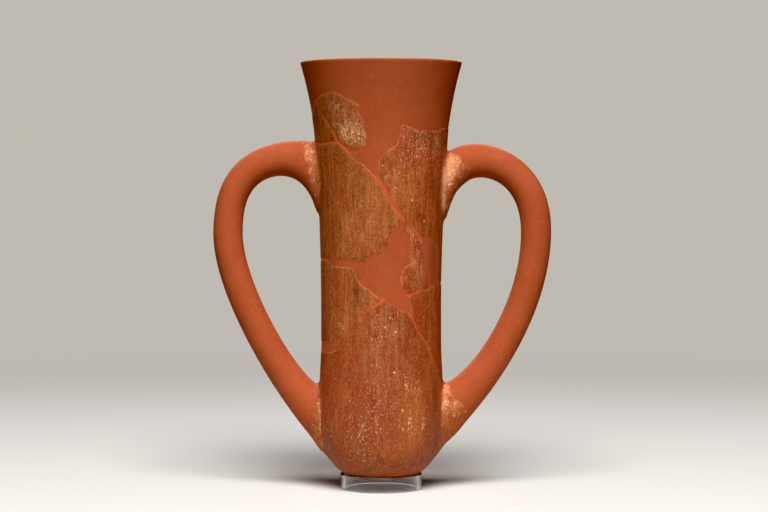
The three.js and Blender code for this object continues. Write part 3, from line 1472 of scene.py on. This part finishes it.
class Socket:
    """A shader output that can be used in sums, differences and products."""

    def __init__(self, graph: Graph, socket: bpy.types.NodeSocket) -> None:
        """Keeps the output and the graph that its Math nodes go into."""
        self.graph = graph
        self.socket = socket

    def __add__(self, other: Socket | float) -> Socket:
        """Sum of two values."""
        return self.graph.math("ADD", self, other)

    __radd__ = __add__

    def __mul__(self, other: Socket | float) -> Socket:
        """Product of two values."""
        return self.graph.math("MULTIPLY", self, other)

    __rmul__ = __mul__

    def __sub__(self, other: Socket | float) -> Socket:
        """This value less another."""
        return self.graph.math("SUBTRACT", self, other)

    def __rsub__(self, other: float) -> Socket:
        """A number less this value."""
        return self.graph.math("SUBTRACT", other, self)

    def maximum(self, other: Socket | float) -> Socket:
        """Larger of two values."""
        return self.graph.math("MAXIMUM", self, other)

    def eased(self, low: float, high: float) -> Socket:
        """Eases from 0 at low to 1 at high, or from 1 to 0 where low is the larger.

        Args:
            low: Value that gives 0.
            high: Value that gives 1.

        Returns:
            The eased value.
        """
        settings = {"interpolation_type": "SMOOTHSTEP"}
        if low < high:
            inputs = {"Value": self, "From Min": low, "From Max": high, "To Min": 0.0, "To Max": 1.0}
        else:
            inputs = {"Value": self, "From Min": high, "From Max": low, "To Min": 1.0, "To Max": 0.0}
        return self.graph.node("ShaderNodeMapRange", settings, inputs)["Result"]


class Outputs:
    """Outputs of one shader node, picked by name."""

    def __init__(self, graph: Graph, node: bpy.types.Node) -> None:
        """Keeps the node and its graph."""
        self.graph = graph
        self.node = node

    def __getitem__(self, name: str) -> Socket:
        """The enabled output of that name."""
        found = next(out for out in self.node.outputs if out.name == name and out.enabled)
        return Socket(self.graph, found)


class Graph:
    """Nodes of one material."""

    def __init__(self, name: str) -> None:
        """Makes an empty node material.

        Args:
            name: Name of the material.
        """
        self.material = bpy.data.materials.new(name)
        self.material.use_nodes = True
        self.tree = self.material.node_tree
        self.tree.nodes.clear()

    def node(self, kind: str, settings: dict[str, Any], inputs: dict[str | int, Any]) -> Outputs:
        """Adds a node, sets its options first and then its inputs.

        Args:
            kind: Node type.
            settings: Node properties by name.
            inputs: Socket values or links, by the socket's name or by its number where names repeat.

        Returns:
            The node's outputs.
        """
        made = self.tree.nodes.new(kind)
        for name, value in settings.items():
            setattr(made, name, value)
        for key, value in inputs.items():
            if isinstance(key, int):
                target = made.inputs[key]
            else:
                target = next(slot for slot in made.inputs if slot.name == key and slot.enabled)
            if isinstance(value, Socket):
                self.tree.links.new(value.socket, target)
            else:
                target.default_value = value
        return Outputs(self, made)

    def math(self, operation: str, first: Socket | float, second: Socket | float) -> Socket:
        """Adds a Math node.

        Args:
            operation: Its operation.
            first: First value.
            second: Second value.

        Returns:
            The result.
        """
        return self.node("ShaderNodeMath", {"operation": operation}, {0: first, 1: second})["Value"]

    def mix(self, share: Socket | float, low: Socket | Colour, high: Socket | Colour) -> Socket:
        """Mixes two colours.

        Args:
            share: 0 for the first colour, 1 for the second.
            low: First colour.
            high: Second colour.

        Returns:
            The mixed colour.
        """
        settings = {"data_type": "RGBA"}
        return self.node("ShaderNodeMix", settings, {"Factor": share, "A": low, "B": high})["Result"]

    def distance(self, places: Socket, centre: Vector) -> Socket:
        """Distance of each place from a fixed point.

        Args:
            places: Coordinates.
            centre: The fixed point.

        Returns:
            The distance.
        """
        settings = {"operation": "DISTANCE"}
        return self.node("ShaderNodeVectorMath", settings, {0: places, 1: centre})["Value"]

    def field(self, mark: Enum) -> Socket:
        """Value of a field that the mesh holds at each point."""
        return self.node("ShaderNodeAttribute", {"attribute_name": mark.value}, {})["Fac"]

    def places(self, scale: Triple = (1.0, 1.0, 1.0)) -> Socket:
        """Object coordinates, stretched by a scale for each axis."""
        plain = self.node("ShaderNodeTexCoord", {}, {})["Object"]
        return self.node("ShaderNodeMapping", {}, {"Vector": plain, "Scale": scale})["Vector"]

    def noise(self, pattern: Pattern) -> Socket:
        """Noise texture from 0 to 1.

        Args:
            pattern: Its sizes.

        Returns:
            The noise value.
        """
        inputs = {
            "Vector": self.places(pattern.pace),
            "Scale": pattern.cells,
            "Detail": pattern.layers,
            "Roughness": pattern.strength,
        }
        return self.node("ShaderNodeTexNoise", {"noise_dimensions": "3D"}, inputs)["Fac"]

    def finish(self, inputs: dict[str, Any]) -> bpy.types.Material:
        """Joins a Principled shader to the material's output.

        Args:
            inputs: The shader's socket values or links by socket name.

        Returns:
            The finished material.
        """
        surface = self.node("ShaderNodeBsdfPrincipled", {}, inputs)
        self.node("ShaderNodeOutputMaterial", {}, {"Surface": surface["BSDF"]})
        return self.material


@dataclass(frozen=True)
class MendedClay:
    """Finish of the cup: burnished old sherds, pale broken clay at the roots and smooth matt fill."""

    fill: Colour = linear(168, 81, 48)
    fill_deep: Colour = linear(158, 74, 42)
    fill_light: Colour = linear(177, 88, 53)
    pit: Colour = linear(96, 40, 18)
    joint: Colour = linear(200, 88, 46)
    brown: Colour = linear(148, 80, 40)
    russet: Colour = linear(156, 64, 32)
    golden: Colour = linear(186, 102, 46)
    film: Colour = linear(194, 122, 84)
    streak: Colour = linear(204, 118, 64)
    dark: Colour = linear(98, 50, 28)
    crust: Colour = linear(222, 178, 134)
    edge: Colour = linear(214, 116, 58)
    stub_pale: Colour = linear(216, 144, 102)
    stub_white: Colour = linear(246, 216, 188)
    stub_brown: Colour = linear(164, 84, 46)

    fill_clouds: Pattern = Pattern(38.0, 4.0)
    fill_cloud_limits: Pair = (0.3, 0.7)
    mottle: Pattern = Pattern(420.0, 3.0)
    mottle_wash: Wash = Wash(0.45, 0.75, 0.6)
    brushing: Pattern = Pattern(700.0, 3.0, pace=(0.1, 0.1, 1.0))
    brushing_wash: Wash = Wash(0.5, 0.75, 0.4)
    pinholes: Pattern = Pattern(330.0, 1.0)
    pinhole_wash: Wash = Wash(0.79, 0.82, 0.7)
    joint_cover: float = 0.8

    clouds: Pattern = Pattern(60.0, 4.0, 0.6, (1.0, 1.0, 0.5))
    red_limits: Pair = (0.34, 0.72)
    cast_weight: float = 0.3
    warmth: Pattern = Pattern(110.0, 4.0, 0.6, (1.0, 1.0, 0.3))
    warm_wash: Wash = Wash(0.5, 0.72, 0.5)
    gold_cover: float = 0.8
    veil: Pattern = Pattern(260.0, 6.0, 0.65, (1.0, 1.0, 0.4))
    veil_limits: Pair = (0.4, 0.7)
    film_cover: float = 0.7
    thin_film: float = 0.25
    burnish: Pattern = Pattern(380.0, 3.0, 0.6, (1.0, 1.0, 0.04))
    burnish_dark: Wash = Wash(0.48, 0.3, 0.35)
    burnish_light: Wash = Wash(0.52, 0.7, 0.35)
    strokes: Pattern = Pattern(560.0, 4.0, 0.65, (1.0, 1.0, 0.16))
    stroke_dark: Wash = Wash(0.5, 0.32, 0.35)
    stroke_light: Wash = Wash(0.56, 0.74, 0.35)
    grain: Pattern = Pattern(820.0, 3.0, 0.75, (1.0, 1.0, 0.8))
    grain_dark: Wash = Wash(0.5, 0.36, 0.5)
    grain_light: Wash = Wash(0.54, 0.66, 0.5)
    specks: Pattern = Pattern(860.0, 3.0, 0.65, (1.0, 1.0, 0.8))
    speck_wash: Wash = Wash(0.65, 0.76, 0.7)
    speck_crust: float = 0.18
    line_wash: Wash = Wash(0.66, 0.86, 0.45)
    line_crust: float = 0.16
    fleck_edge: Pattern = Pattern(1300.0, 2.0)
    fleck_shake: float = 0.0012
    fleck_outer: float = 1.2
    fleck_inner: float = 0.4

    stub_clouds: Pattern = Pattern(420.0, 5.0, 0.7, (1.0, 1.0, 0.6))
    stub_contrast: float = 1.4
    stub_offset: float = 0.6
    stub_limits: Pair = (0.05, 0.75)
    stub_grain: Pattern = Pattern(900.0, 3.0, 0.7)
    stub_grain_wash: Wash = Wash(0.48, 0.34, 0.5)
    stub_flecks: Pattern = Pattern(620.0, 3.0, 0.6)
    stub_fleck_wash: Wash = Wash(0.62, 0.74, 0.8)
    stub_fleck_pale: float = 0.06

    ragged: Pattern = Pattern(900.0, 4.0, 0.7)
    sherd_ragged: float = 1.2
    stub_ragged: float = 0.9
    sherd_edge: Pair = (0.0, 0.35)
    stub_edge: Pair = (-0.1, 0.4)
    patches: Pattern = Pattern(150.0, 3.0)
    patch_limits: Pair = (0.42, 0.6)
    rim_limits: Pair = (1.1, 0.3)
    rim_cover: float = 0.7

    sheen: Pattern = Pattern(620.0, 3.0, 0.6, (1.0, 1.0, 0.12))
    sheen_range: float = 0.3
    fill_roughness: float = 0.82
    sherd_roughness: float = 0.58
    stub_roughening: float = 0.16
    grit: Pattern = Pattern(1300.0, 4.0, 0.65)
    skin: Pattern = Pattern(700.0, 2.0)
    sheen_bump: float = 0.5
    grit_bump: float = 0.5
    skin_bump: float = 0.05
    stub_bump: float = 0.8
    bump_strength: float = 0.5
    bump_distance: float = 0.0005
    refraction: float = 1.45
    specular: float = 0.3

    def fill_colour(self, graph: Graph) -> Socket:
        """Even matt orange with faint clouds and a few pinholes, brighter in the narrow joints.

        Args:
            graph: Graph of the material.

        Returns:
            The colour.
        """
        clouds = graph.noise(self.fill_clouds).eased(*self.fill_cloud_limits)
        colour = graph.mix(clouds, self.fill_deep, self.fill)
        washes = (
            (self.mottle, self.mottle_wash, self.fill_light),
            (self.brushing, self.brushing_wash, self.fill_deep),
            (self.pinholes, self.pinhole_wash, self.pit),
        )
        for pattern, wash, tint in washes:
            colour = graph.mix(wash.on(graph.noise(pattern)), colour, tint)
        joint = (1.0 - graph.field(Mark.BY_FILL)) * (1.0 - graph.field(Mark.BLURRED))
        return graph.mix(joint * self.joint_cover, colour, self.joint)

    def fleck_cover(self, graph: Graph, flecks: Sequence[tuple[Vector, float]]) -> Socket:
        """Cover of the single flecks: 1 within a fleck's radius, by the distance from its centre.

        Args:
            graph: Graph of the material.
            flecks: Places and radii in metres.

        Returns:
            The cover from 0 to 1.
        """
        places = graph.places()
        shake = (graph.noise(self.fleck_edge) - NOISE_MIDDLE) * self.fleck_shake
        cover = None
        for place, radius in flecks:
            away = graph.distance(places, place) + shake
            near = away.eased(radius * self.fleck_outer, radius * self.fleck_inner)
            cover = near if cover is None else cover.maximum(near)
        return cover

    def sherd_colour(self, graph: Graph, flecks: Sequence[tuple[Vector, float]]) -> Socket:
        """Brown to red clay with short burnishing streaks, a pinkish film, pale crust and dark stains.

        Args:
            graph: Graph of the material.
            flecks: Places and radii of the single flecks, in metres.

        Returns:
            The colour.
        """
        crust = graph.field(Mark.CRUST)
        red = (graph.noise(self.clouds) + graph.field(Mark.CAST) * self.cast_weight).eased(*self.red_limits)
        colour = graph.mix(red, self.brown, self.russet)
        warm = self.warm_wash.on(graph.noise(self.warmth))
        colour = graph.mix(warm.maximum(graph.field(Mark.GOLD) * self.gold_cover), colour, self.golden)
        veil = graph.noise(self.veil).eased(*self.veil_limits)
        film = graph.field(Mark.FILM) * self.film_cover + self.thin_film
        colour = graph.mix(veil * film, colour, self.film)
        burnish = graph.noise(self.burnish)
        strokes = graph.noise(self.strokes)
        grain = graph.noise(self.grain)
        washes = (
            (burnish, self.burnish_dark, self.dark),
            (burnish, self.burnish_light, self.streak),
            (strokes, self.stroke_dark, self.dark),
            (strokes, self.stroke_light, self.streak),
            (grain, self.grain_dark, self.dark),
            (grain, self.grain_light, self.film),
        )
        for value, wash, tint in washes:
            colour = graph.mix(wash.on(value), colour, tint)
        colour = graph.mix(graph.field(Mark.SHADE), colour, self.dark)
        specks = self.speck_wash.on(graph.noise(self.specks) + crust * self.speck_crust)
        lines = self.line_wash.on(strokes + crust * self.line_crust)
        cover = specks.maximum(lines).maximum(self.fleck_cover(graph, flecks))
        return graph.mix(cover, colour, self.crust)

    def stub_colour(self, graph: Graph) -> Socket:
        """Broken clay, pale to brown, with white flecks, and a painted highlight on the top of the right
        upper root.

        Args:
            graph: Graph of the material.

        Returns:
            The colour.
        """
        # Pale clay, and a painted highlight on the right upper root's top
        pale = graph.field(Mark.PALE_AND_HIGHLIGHT)
        share = graph.noise(self.stub_clouds) * self.stub_contrast + pale - self.stub_offset
        colour = graph.mix(share.eased(*self.stub_limits), self.stub_brown, self.stub_pale)
        colour = graph.mix(self.stub_grain_wash.on(graph.noise(self.stub_grain)), colour, self.dark)
        flecks = graph.noise(self.stub_flecks) + pale * self.stub_fleck_pale
        return graph.mix(self.stub_fleck_wash.on(flecks), colour, self.stub_white)

    def build(self, name: str, flecks: Sequence[tuple[Vector, float]]) -> bpy.types.Material:
        """Builds the material.

        Args:
            name: Name of the material.
            flecks: Places and radii of the single flecks, in metres.

        Returns:
            The material.
        """
        graph = Graph(name)
        ragged = graph.noise(self.ragged) - NOISE_MIDDLE
        first, second, third = (graph.field(kind) for kind in Field)
        sherd = first.maximum(second).maximum(third) + ragged * self.sherd_ragged
        stub = graph.field(Mark.STUB) + ragged * self.stub_ragged
        blurred = graph.field(Mark.BLURRED)
        by_fill = graph.field(Mark.BY_FILL)
        worn = blurred * (1.0 - by_fill)
        on_sherd = sherd.eased(*self.sherd_edge).maximum(worn)
        on_stub = stub.eased(*self.stub_edge)
        patchy = graph.noise(self.patches).eased(*self.patch_limits) * (1.0 - blurred)
        rim_of_sherd = on_sherd * sherd.eased(*self.rim_limits) * by_fill * patchy

        colour = graph.mix(on_sherd, self.fill_colour(graph), self.sherd_colour(graph, flecks))
        colour = graph.mix(rim_of_sherd * self.rim_cover, colour, self.edge)
        # Dark stains and painted shade, laid over fill and sherds alike
        colour = graph.mix(graph.field(Mark.STAIN_AND_SHADE), colour, self.dark)
        colour = graph.mix(on_stub, colour, self.stub_colour(graph))

        sheen = graph.noise(self.sheen)
        polish = self.sherd_roughness - self.fill_roughness - self.sheen_range * NOISE_MIDDLE
        rough = self.fill_roughness + on_sherd * (sheen * self.sheen_range + polish)
        rough = rough + on_stub * self.stub_roughening

        grit = graph.noise(self.grit)
        height = on_sherd * (sheen * self.sheen_bump + grit * self.grit_bump)
        height = height + (1.0 - on_sherd) * graph.noise(self.skin) * self.skin_bump
        height = height + on_stub * grit * self.stub_bump
        bump = {"Strength": self.bump_strength, "Distance": self.bump_distance, "Height": height}
        return graph.finish(
            {
                "Base Color": colour,
                "Roughness": rough,
                "Normal": graph.node("ShaderNodeBump", {}, bump)["Normal"],
                "IOR": self.refraction,
                "Specular IOR Level": self.specular,
            }
        )


@dataclass(frozen=True)
class ClearAcrylic:
    """Finish of the ring: colourless clear plastic, faintly scuffed."""

    tint: Colour = (0.9, 0.9, 0.89, 1.0)
    refraction: float = 1.49
    scuffs: Pattern = Pattern(600.0, 3.0, pace=(1.0, 1.0, 0.2))
    scuff_wash: Wash = Wash(0.55, 0.8, 0.06)
    polished_roughness: float = 0.02

    def build(self, name: str) -> bpy.types.Material:
        """Builds the material.

        Args:
            name: Name of the material.

        Returns:
            The material.
        """
        graph = Graph(name)
        return graph.finish(
            {
                "Base Color": self.tint,
                "Roughness": self.scuff_wash.on(graph.noise(self.scuffs)) + self.polished_roughness,
                "IOR": self.refraction,
                "Transmission Weight": 1.0,
            }
        )


@dataclass(frozen=True)
class Lamp:
    """A soft rectangular light: its place and its width and height in metres, and its power in watts."""

    place: Triple
    size: Pair
    power: float


@dataclass
class Studio:
    """Pale round sweep, soft lights and the camera. Lengths are in metres."""

    view: PhotoView
    columns: int = 128
    inner_radius: float = 0.001
    table_radius: float = 0.26
    bend_start: float = 2.1
    bend_radius: float = 0.7
    bend_steps: int = 24
    wall_top: float = 3.0
    fade_start: float = 0.45
    fade_end: float = 1.15
    floor_colour: Colour = linear(225, 222, 217)
    backdrop_colour: Colour = linear(193, 188, 179)
    unlit: Colour = (0.0, 0.0, 0.0, 1.0)
    paper_roughness: float = 0.9
    key: Lamp = Lamp((0.05, -1.37, 1.9), (1.6, 1.1), 89.0)
    back: Lamp = Lamp((-0.3, 1.5, 1.3), (1.4, 1.0), 45.0)
    light_aim: Triple = (0.0, 0.0, 0.14)
    ambient_colour: Colour = (1.0, 0.98, 0.95, 1.0)
    ambient_strength: float = 0.025
    black_point: float = 0.016

    def paper(self) -> bpy.types.Material:
        """White floor that fades into an evenly lit grey backdrop all round the cup.

        Returns:
            The material.
        """
        graph = Graph("sweep_paper")
        radius = graph.distance(graph.places((1.0, 1.0, 0.0)), Vector((0.0, 0.0, 0.0)))
        share = radius.eased(self.fade_start, self.fade_end)
        return graph.finish(
            {
                "Base Color": graph.mix(share, self.floor_colour, self.unlit),
                "Emission Color": graph.mix(share, self.unlit, self.backdrop_colour),
                "Emission Strength": 1.0,
                "Roughness": self.paper_roughness,
                "Specular IOR Level": 0.0,
            }
        )

    def sheet(self, name: str, profile: np.ndarray, paper: bpy.types.Material) -> bpy.types.Object:
        """A profile turned about Z, (r cos a, r sin a, z), facing up and inwards.

        Args:
            name: Name of the stage piece.
            profile: Radius and height in metres, from the outside in, of shape (n, 2).
            paper: Its finish.

        Returns:
            The sheet as a stage piece.
        """
        rings = turned(profile / METRES, self.columns)
        faces = quad_bands(len(profile), self.columns)
        made = new_mesh_object(name, rings.reshape(-1, 3), faces.tolist())
        made.data.materials.append(paper)
        return made

    def sweep(self) -> None:
        """Table under the cup, and a round floor that runs on level and bends up into a backdrop.

        Only the table throws light back onto the cup.
        """
        paper = self.paper()
        self.sheet("table", np.array(((self.table_radius, 0.0), (self.inner_radius, 0.0))), paper)
        angle = np.linspace(0.0, np.pi / 2.0, self.bend_steps)
        bend_r = self.bend_start + self.bend_radius * np.sin(angle)
        bend_z = self.bend_radius * (1.0 - np.cos(angle))
        radius = np.concatenate([[self.table_radius, self.fade_start], bend_r, bend_r[-1:]])
        height = np.concatenate([[0.0, 0.0], bend_z, [self.wall_top]])
        backdrop = self.sheet("backdrop", np.stack([radius, height], axis=1)[::-1], paper)
        backdrop.visible_diffuse = False
        backdrop.visible_glossy = False

    def hang(self, made: bpy.types.Object, place: Vector, aim: Vector) -> bpy.types.Object:
        """Puts an object in its place, turned towards an aim, and links it into the scene.

        Args:
            made: A light or a camera.
            place: Where it goes.
            aim: What it looks at.

        Returns:
            The same object.
        """
        made.location = place
        made.rotation_euler = (aim - place).to_track_quat("-Z", "Y").to_euler()
        bpy.context.scene.collection.objects.link(made)
        return made

    def light(self, name: str, lamp: Lamp) -> bpy.types.Object:
        """Adds a soft rectangular light that points at the cup.

        Args:
            name: Name of the light.
            lamp: Its sizes.

        Returns:
            The light.
        """
        area = bpy.data.lights.new(name, "AREA")
        area.shape = "RECTANGLE"
        area.size, area.size_y = lamp.size
        area.energy = lamp.power
        return self.hang(bpy.data.objects.new(name, area), Vector(lamp.place), Vector(self.light_aim))

    def world(self) -> None:
        """Even light from all round."""
        made = bpy.data.worlds.new("studio")
        made.use_nodes = True
        background = made.node_tree.nodes["Background"]
        background.inputs["Color"].default_value = self.ambient_colour
        background.inputs["Strength"].default_value = self.ambient_strength
        bpy.context.scene.world = made

    def camera(self) -> None:
        """Camera at the photograph's place, with its lens."""
        lens = bpy.data.cameras.new("camera")
        lens.lens = self.view.lens
        lens.sensor_width = self.view.sensor
        place = Vector((self.view.aim_across, -self.view.distance, self.view.eye_height)) * METRES
        aim = Vector((self.view.aim_across, 0.0, self.view.aim_height)) * METRES
        bpy.context.scene.camera = self.hang(bpy.data.objects.new("camera", lens), place, aim)

    def build(self, vessel: bpy.types.Object) -> None:
        """Sets up the sweep, the lights and the camera.

        Args:
            vessel: The piece that the light for the back falls on, and on nothing else.
        """
        self.sweep()
        self.light("key", self.key)
        lit = bpy.data.collections.new("lit_from_behind")
        lit.objects.link(vessel)
        self.light("back", self.back).light_linking.receiver_collection = lit
        self.world()
        self.camera()
        display = bpy.context.scene.view_settings
        display.view_transform = "Standard"
        display.use_curve_mapping = True
        display.curve_mapping.black_level = (self.black_point,) * 3
        display.curve_mapping.update()


def main() -> None:
    """Builds the cup, its ring and the studio, and reports each piece."""
    logging.basicConfig(level=logging.INFO, format="%(name)s: %(message)s")
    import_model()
    view = PhotoView()
    wall = WallProfile()
    mending = Mending(wall, view)

    cup = Cup(wall, (LEFT_HANDLE, RIGHT_HANDLE), mending).build("two_handled_cup")
    cup.data.materials.clear()
    cup.data.materials.append(MendedClay().build("mended_clay", mending.flecks()))
    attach(cup, "root")
    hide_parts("cup")

    ring = StandRing().build("clear_ring")
    ring.data.materials.append(ClearAcrylic().build("clear_acrylic"))
    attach(ring, "root")
    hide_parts("stand_ring")

    Studio(view).build(cup)
    for piece in (cup, ring):
        piece.data.calc_loop_triangles()
        LOG.info("%s: %d triangles", piece.name, len(piece.data.loop_triangles))


if __name__ == "__main__":
    main()
